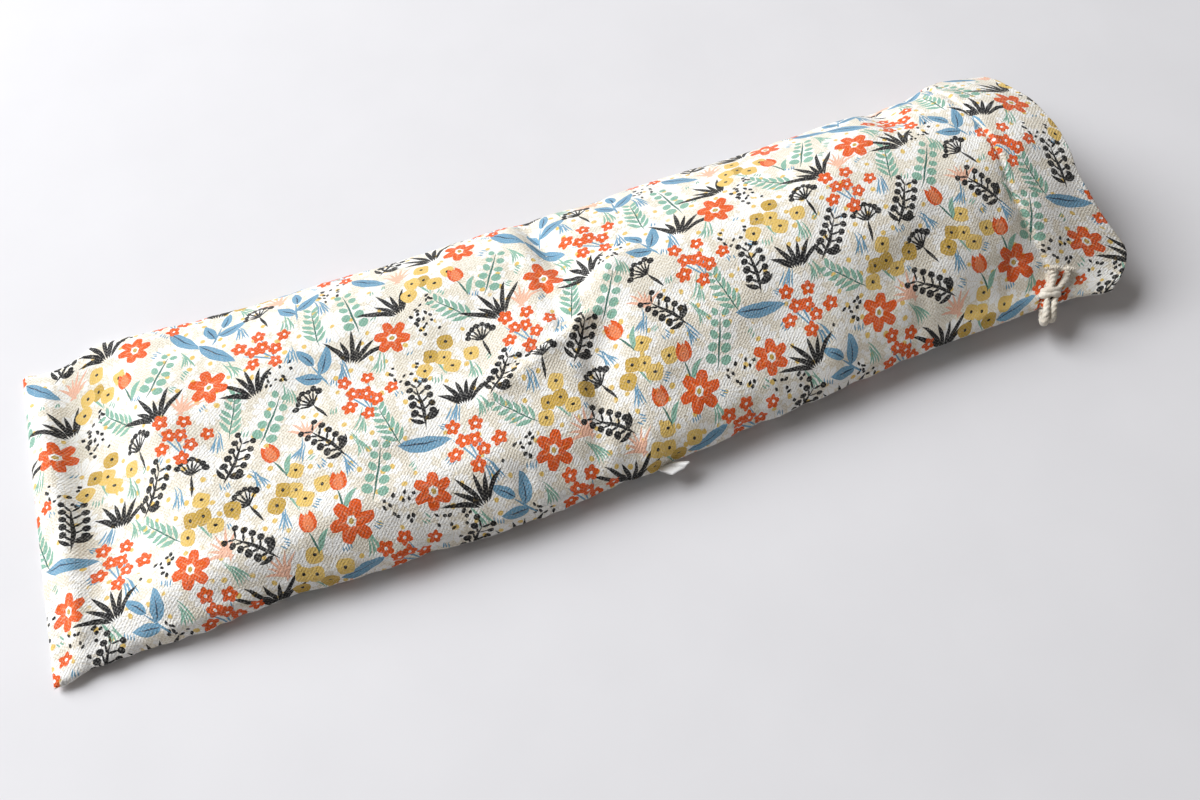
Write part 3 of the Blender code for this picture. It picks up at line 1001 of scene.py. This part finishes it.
while len(cut) > 1 or len(lap) > 1:
    if len(lap) == 1 or (len(cut) > 1 and cut[1].co.y < lap[1].co.y):
        bm.faces.new((cut[0], cut[1], lap[0]))
        cut.pop(0)
    else:
        bm.faces.new((cut[0], lap[1], lap[0]))
        lap.pop(0)
for face in bm.faces:
    if max(vert.co.x for vert in face.verts) > CLOTH_CUT + NEAR:
        face.material_index = INK_NAMES.index("reverse")

# The flat cloth is rolled up: u along it and v round it become places on the bag's form.
flat = np.array([v.co for v in bm.verts])
u, v = flat[:, 0], flat[:, 1]
turned = np.clip((u - LENGTH) / PLY, 0, math.pi)
inner = u > CLOTH_CUT + NEAR
past_rim = LENGTH + PLY * np.sin(turned) - np.maximum(0, u - LENGTH - HEM_TURN)
x = np.where(u < LENGTH, u, past_rim)
x = np.where(inner, HEM_EDGE - (u - REVERSE_START), x)
depth = np.where(inner, PLY, PLY * (1 - np.cos(turned)))
cloth_map = bm.loops.layers.uv.new("cloth")
for face in bm.faces:
    for loop in face.loops:
        loop[cloth_map].uv = loop.vert.co.xy * MM
for vert, point in zip(bm.verts, surface(x, v, depth)):
    vert.co = point
bmesh.ops.remove_doubles(bm, verts=bm.verts, dist=WELD * MM)
bmesh.ops.holes_fill(bm, edges=[e for e in bm.edges if e.is_boundary], sides=0)
bmesh.ops.recalc_face_normals(bm, faces=bm.faces)
cloth_mesh = bpy.data.meshes.new("printed_cloth")
bm.to_mesh(cloth_mesh)
bm.free()
cloth_mesh.shade_smooth()

# Each face's ink goes into a colour attribute, with the amount of ink as its alpha.
faces = cloth_mesh.polygons
ink_of_face, corners = np.empty(len(faces), int), np.empty(len(faces), int)
faces.foreach_get("material_index", ink_of_face)
faces.foreach_get("loop_total", corners)
ink_colours = np.array([INKS[name] for name in INK_NAMES], np.float32)
ink_layer = cloth_mesh.color_attributes.new("ink", "FLOAT_COLOR", "CORNER")
ink_layer.data.foreach_set("color", ink_colours[np.repeat(ink_of_face, corners)].ravel())
faces.foreach_set("material_index", np.zeros(len(faces), int))

# Slub cotton canvas, printed with matt pigment: to the eye a dry, slightly knobbly cloth with
# pale specks where the ink misses the raised threads. It is a plain weave of uneven threads,
# about 0.6 mm apart in the real cloth and drawn at 1.15 mm so that they show.
THREAD = 1.15
SLUB_LONG = 20.0
SLUB_WIDE = 1.3
SPECK = 1.0
BRUSH_STRAY = 2.0         # how far the brush strays from true, in patches of BRUSH_PATCH
BRUSH_PATCH = 7.0
SEAM_LINE = 1.8           # width of a white line along the near seam's edge
SLIT = (595.0, 4.6)       # the casing's slit: its middle along the bag and round it
SLIT_SIZE = (15.0, 2.2)
# painted shadow: the dark colour laid inside the casing's slit, behind the cords
SLIT_SHADE = "#2A2622"
CLOTH_TONES = ("#DFD5C1", "#FAF5EA")
FIELD = 46.0              # size of the fields of small daisies and of large blooms

canvas, tree, shader = new_material("printed slub cotton canvas", 0.88)
shader.inputs["Sheen Weight"].default_value = 0.06
shader.inputs["Specular IOR Level"].default_value = 0.3
ink = add_node(tree, "ShaderNodeVertexColor", {"layer_name": "ink"}, {})
cloth_uv = add_node(tree, "ShaderNodeUVMap", {"uv_map": "cloth"}, {})
soft_step = {"interpolation_type": "SMOOTHSTEP"}

# The white blossoms behind the other motifs. Petals are parted by hairlines of bare cloth,
# and the brush has strayed a little from every outline.
sway = add_node(tree, "ShaderNodeTexNoise", {"noise_dimensions": "2D"}, {
    "Vector": cloth_uv, "Scale": 1 / (BRUSH_PATCH * MM),
})
hand = add_node(tree, "ShaderNodeVectorMath", {"operation": "MULTIPLY_ADD"}, {
    0: sway.outputs["Color"], 1: (BRUSH_STRAY * MM, BRUSH_STRAY * MM, 0), 2: cloth_uv,
})


def white_blossoms(pitch, reach, fewest, spread, hairline, eye):
    """Blossoms about pitch mm apart: how much white ink, and how much of the yellow eye."""
    cells = add_node(tree, "ShaderNodeTexVoronoi", {"voronoi_dimensions": "2D"}, {
        "Vector": hand, "Scale": 1 / (pitch * MM), "Randomness": spread,
    })
    lot = add_node(tree, "ShaderNodeSeparateColor", {}, {0: cells.outputs["Color"]})
    arm = add_node(tree, "ShaderNodeVectorMath", {"operation": "SUBTRACT"}, {
        0: hand, 1: cells.outputs["Position"],
    })
    ends = add_node(tree, "ShaderNodeSeparateXYZ", {}, {0: arm})
    around = add_node(tree, "ShaderNodeMath", {"operation": "ARCTAN2"}, {
        0: ends.outputs[1], 1: ends.outputs[0],
    })
    out = add_node(tree, "ShaderNodeMath", {"operation": "MULTIPLY"}, {
        0: cells.outputs["Distance"], 1: pitch,
    })
    # Up to three petals more than the fewest, and the flower turned by chance
    more = add_node(tree, "ShaderNodeMath", {"operation": "MULTIPLY"}, {0: lot.outputs[1], 1: 3.0})
    whole = add_node(tree, "ShaderNodeMath", {"operation": "ROUND"}, {0: more})
    petals = add_node(tree, "ShaderNodeMath", {"operation": "ADD"}, {0: whole, 1: fewest})
    start = add_node(tree, "ShaderNodeMath", {"operation": "MULTIPLY"}, {
        0: lot.outputs[0], 1: 6.28,
    })
    angle = add_node(tree, "ShaderNodeMath", {"operation": "MULTIPLY_ADD"}, {
        0: around, 1: petals, 2: start,
    })
    wave = add_node(tree, "ShaderNodeMath", {"operation": "COSINE"}, {0: angle})
    # The outline: rounded petals, and flowers of unlike sizes
    scallop = add_node(tree, "ShaderNodeMath", {"operation": "MULTIPLY_ADD"}, {
        0: wave, 1: 0.11, 2: 0.89,
    })
    size = add_node(tree, "ShaderNodeMath", {"operation": "MULTIPLY_ADD"}, {
        0: lot.outputs[2], 1: 0.35 * reach, 2: 0.72 * reach,
    })
    edge = add_node(tree, "ShaderNodeMath", {"operation": "MULTIPLY"}, {0: scallop, 1: size})
    left = add_node(tree, "ShaderNodeMath", {"operation": "SUBTRACT"}, {0: edge, 1: out})
    inside = add_node(tree, "ShaderNodeMapRange", soft_step, {"Value": left, "From Max": 0.35})
    # The hairlines: how far a point lies from the parting of two petals
    away = add_node(tree, "ShaderNodeMath", {"operation": "MULTIPLY"}, {0: wave, 1: -1.0})
    swing = add_node(tree, "ShaderNodeMath", {"operation": "ARCCOSINE"}, {0: away})
    arc = add_node(tree, "ShaderNodeMath", {"operation": "MULTIPLY"}, {0: out, 1: swing})
    gap = add_node(tree, "ShaderNodeMath", {"operation": "DIVIDE"}, {0: arc, 1: petals})
    clear = add_node(tree, "ShaderNodeMapRange", soft_step, {
        "Value": gap, "From Min": 0.3 * hairline, "From Max": hairline, "To Min": 0.3,
    })
    petal = add_node(tree, "ShaderNodeMath", {"operation": "MULTIPLY"}, {0: inside, 1: clear})
    middle = add_node(tree, "ShaderNodeMapRange", soft_step, {
        "Value": out, "From Min": eye - 0.2, "From Max": eye + 0.2, "To Min": 1.0, "To Max": 0.0,
    })
    return petal, middle


daisies, daisy_eyes = white_blossoms(11.0, 6.0, 8.0, 0.55, 0.32, 1.5)
blooms, bloom_eyes = white_blossoms(19.0, 12.0, 11.0, 0.85, 0.40, 1.3)
fields = add_node(tree, "ShaderNodeTexNoise", {"noise_dimensions": "2D"}, {
    "Vector": cloth_uv, "Scale": 1 / (FIELD * MM), "Detail": 1.0,
})
in_daisies = add_node(tree, "ShaderNodeMapRange", soft_step, {
    "Value": fields, "From Min": 0.49, "From Max": 0.52,
})
white_ink = add_node(tree, "ShaderNodeMix", {}, {0: in_daisies, 2: blooms, 3: daisies})
eyes = add_node(tree, "ShaderNodeMix", {}, {0: in_daisies, 2: bloom_eyes, 3: daisy_eyes})

# The weave: uneven threads both ways, with long slubs, and a fine fuzz.
slub_ways = []
for long, wide in ((SLUB_LONG, SLUB_WIDE), (SLUB_WIDE, SLUB_LONG)):
    stretched = add_node(tree, "ShaderNodeVectorMath", {"operation": "MULTIPLY"}, {
        0: cloth_uv, 1: (1 / (long * MM), 1 / (wide * MM), 1),
    })
    slub_ways.append(add_node(tree, "ShaderNodeTexNoise", {"noise_dimensions": "2D"}, {
        "Vector": stretched, "Scale": 1.0,
    }))
slubs = add_node(tree, "ShaderNodeMath", {"operation": "MAXIMUM"}, {
    0: slub_ways[0], 1: slub_ways[1],
})
threads = add_node(tree, "ShaderNodeVectorMath", {"operation": "SCALE"}, {
    0: hand, "Scale": math.pi / (THREAD * MM),
})
waves = add_node(tree, "ShaderNodeVectorMath", {"operation": "SINE"}, {0: threads})
ways = add_node(tree, "ShaderNodeSeparateXYZ", {}, {0: waves})
weave = add_node(tree, "ShaderNodeMath", {"operation": "MULTIPLY"}, {
    0: ways.outputs[0], 1: ways.outputs[1],
})
specks = add_node(tree, "ShaderNodeTexNoise", {"noise_dimensions": "2D"}, {
    "Vector": cloth_uv, "Scale": 1 / (SPECK * MM), "Roughness": 0.7,
})
woven = add_node(tree, "ShaderNodeMath", {"operation": "MULTIPLY_ADD"}, {
    0: weave, 1: 0.28, 2: slubs,
})
height = add_node(tree, "ShaderNodeMath", {"operation": "ADD"}, {0: woven, 1: specks})

# A white line along the near seam's edge, and a painted shadow for the dark of the casing's slit
# behind the cords.
spot = add_node(tree, "ShaderNodeSeparateXYZ", {}, {0: cloth_uv})
seam_white_line = add_node(tree, "ShaderNodeMapRange", soft_step, {
    "Value": spot.outputs[1], "From Min": (GIRTH - SEAM_LINE) * MM,
    "From Max": (GIRTH - 0.6 * SEAM_LINE) * MM,
})
slit_shadow_ways = []
for k, inner_share in ((0, 1 / 3), (1, 1 / 4)):
    off = add_node(tree, "ShaderNodeMath", {"operation": "SUBTRACT"}, {
        0: spot.outputs[k], 1: SLIT[k] * MM,
    })
    away = add_node(tree, "ShaderNodeMath", {"operation": "ABSOLUTE"}, {0: off})
    slit_shadow_ways.append(add_node(tree, "ShaderNodeMapRange", soft_step, {
        "Value": away, "From Min": SLIT_SIZE[k] / 2 * MM,
        "From Max": SLIT_SIZE[k] * inner_share * MM,
    }))
painted_slit_shadow = add_node(tree, "ShaderNodeMath", {"operation": "MULTIPLY"}, {
    0: slit_shadow_ways[0], 1: slit_shadow_ways[1],
})

# Ink lies thinner on the raised threads, so the cloth shows through as pale specks.
taken = add_node(tree, "ShaderNodeMapRange", {}, {
    "Value": height, "From Min": 1.00, "From Max": 1.55, "To Min": 1.0, "To Max": 0.76,
})
shade = add_node(tree, "ShaderNodeMapRange", soft_step, {
    "Value": height, "From Min": 0.70, "From Max": 1.45,
})
colour = add_node(tree, "ShaderNodeMix", {"data_type": "RGBA"}, {
    0: shade, 6: linear(CLOTH_TONES[0]), 7: linear(CLOTH_TONES[1]),
}).outputs[2]
for paint, amount in (
    (INKS["white"], white_ink), (INKS["mustard"], eyes),
    (ink.outputs["Color"], ink.outputs["Alpha"]),
):
    laid = add_node(tree, "ShaderNodeMath", {"operation": "MULTIPLY"}, {0: amount, 1: taken})
    colour = add_node(tree, "ShaderNodeMix", {"data_type": "RGBA"}, {
        0: laid, 6: colour, 7: paint,
    }).outputs[2]
# The white line at the near seam, then the painted shadow in the casing's slit
for paint, amount in ((INKS["white"], seam_white_line), (linear(SLIT_SHADE), painted_slit_shadow)):
    colour = add_node(tree, "ShaderNodeMix", {"data_type": "RGBA"}, {
        0: amount, 6: colour, 7: paint,
    }).outputs[2]
relief = add_node(tree, "ShaderNodeBump", {}, {
    "Height": height, "Strength": 1.0, "Distance": 0.45 * MM,
})
tree.links.new(colour, shader.inputs["Base Color"])
tree.links.new(relief.outputs["Normal"], shader.inputs["Normal"])
cloth = add_piece("printed_cloth", cloth_mesh, canvas, "canvas", "bag_cloth")

# The casing's stitches: one row of cream thread round the mouth, 50 mm in from the rim,
# which holds the hem down and keeps the drawcord in its tunnel.
STITCH_STEP = 3.3
STITCH_LONG = 2.3
THREAD_WIDTH = 0.5
STITCH_RISE = np.array([-0.25, 0.12, 0.25, 0.12, -0.25])     # in at both holes, proud between

# Twisted cotton thread: cream, a little smoother than the cloth, with finely flecked strands.
THREAD_TONES = ("#CFC6B2", "#EFE8D8")
THREAD_FLECK = 0.4

thread_material, tree, shader = new_material("twisted sewing thread", 0.7)
place = add_node(tree, "ShaderNodeTexCoord", {}, {})
strands = add_node(tree, "ShaderNodeTexNoise", {}, {
    "Vector": place.outputs["Object"], "Scale": 1 / (THREAD_FLECK * MM),
})
tone = add_node(tree, "ShaderNodeMix", {"data_type": "RGBA"}, {
    0: strands.outputs["Fac"], 6: linear(THREAD_TONES[0]), 7: linear(THREAD_TONES[1]),
})
tree.links.new(tone.outputs[2], shader.inputs["Base Color"])
stitch_lines = []
for k in range(int(GIRTH / STITCH_STEP)):
    spots = k * STITCH_STEP + np.linspace(0, STITCH_LONG, 5)
    points = surface(np.full(5, CASING_LINE), spots, -STITCH_RISE)
    points[:, 2] = np.maximum(points[:, 2], THREAD_WIDTH / 2 * MM)
    stitch_lines.append([(Vector(p), 1.0, 0) for p in points])
stitch_mesh = curve_piece("casing_stitches", stitch_lines, THREAD_WIDTH / 2 * MM, rounds=1)
stitches = add_piece("casing_stitches", stitch_mesh, thread_material, "canvas")

# The tab: a short white woven tape, folded over and caught by both ends in the near seam.
# It is twisted towards the mouth: half of it lies flat and the rest has rolled up. It
# carries no mark.
TAB_ROOT = ((335.2, -90.2), (346.6, -88.6))
TAB_FOLD = ((341.6, -96.9), (354.4, -93.6))
TAB_PLY = 0.55
TAB_GAPE = 0.9            # how far its two layers stand apart at the seam
TAB_RISE = 2.2            # how far its fold stands above the seam
TAB_ROLL_FROM = 0.62      # share of its width past which it has rolled up
TAB_ROLL = 1.7
TAB_CREASE_AT = 0.58
TAB_CREASE_WIDE = 0.07
TAB_CREASE = 0.9
TAB_CURL = 1.1

# Woven cotton tape: bright white and matt, with fine ribs across it.
TAPE_TONES = ("#F6F6F5", "#FFFFFF")
TAPE_RIB = 2.2            # real ribs lie about 0.5 mm apart and would be too fine to show
TAPE_GRAIN = 0.7

tape, tree, shader = new_material("woven cotton tape", 0.8)
place = add_node(tree, "ShaderNodeTexCoord", {}, {})
ribs = add_node(tree, "ShaderNodeTexWave", {"bands_direction": "X"}, {
    "Vector": place.outputs["Object"], "Scale": 1 / (TAPE_RIB * MM), "Distortion": 1.0,
})
grain = add_node(tree, "ShaderNodeTexNoise", {}, {
    "Vector": place.outputs["Object"], "Scale": 1 / (TAPE_GRAIN * MM),
})
tone = add_node(tree, "ShaderNodeMix", {"data_type": "RGBA"}, {
    0: grain.outputs["Fac"], 6: linear(TAPE_TONES[0]), 7: linear(TAPE_TONES[1]),
})
relief = add_node(tree, "ShaderNodeBump", {}, {
    "Height": ribs.outputs["Fac"], "Strength": 0.3, "Distance": 0.12 * MM,
})
tree.links.new(tone.outputs[2], shader.inputs["Base Color"])
tree.links.new(relief.outputs["Normal"], shader.inputs["Normal"])

seam_at_tab = float(row_values(SECTIONS, np.array([TAB_ROOT[0][0]]))[2][0])
bm = bmesh.new()
bmesh.ops.create_grid(bm, x_segments=32, y_segments=28, size=0.5)
for vert in bm.verts:
    wide, along = vert.co.x + 0.5, vert.co.y + 0.5
    out = math.sin(math.pi * along) ** 0.8
    start = Vector(TAB_ROOT[0]).lerp(Vector(TAB_ROOT[1]), wide)
    end = Vector(TAB_FOLD[0]).lerp(Vector(TAB_FOLD[1]), wide)
    spot = start.lerp(end, out)
    rolled = max(0.0, (wide - TAB_ROLL_FROM) / (1 - TAB_ROLL_FROM))
    lift = TAB_RISE + TAB_ROLL * math.sin(math.pi * min(1.0, 1.15 * rolled))
    lift -= TAB_CREASE * math.exp(-((wide - TAB_CREASE_AT) / TAB_CREASE_WIDE) ** 2)
    curl = TAB_CURL * rolled ** 4 * (2 * out - 1)
    gape = TAB_GAPE * math.cos(math.pi * along) * (0.4 + 0.6 * out)
    vert.co = on_bag(spot.x - 0.9 * abs(curl), spot.y + curl, seam_at_tab + gape + lift * out)
bmesh.ops.recalc_face_normals(bm, faces=bm.faces)
tab_mesh = bpy.data.meshes.new("seam_tape")
bm.to_mesh(tab_mesh)
bm.free()
tab_mesh.shade_smooth()
tab = add_piece("seam_tape", tab_mesh, tape, "tape", "seam_tab")
thickness = tab.modifiers.new("tape thickness", "SOLIDIFY")
thickness.thickness = TAB_PLY * MM
thickness.offset = 0
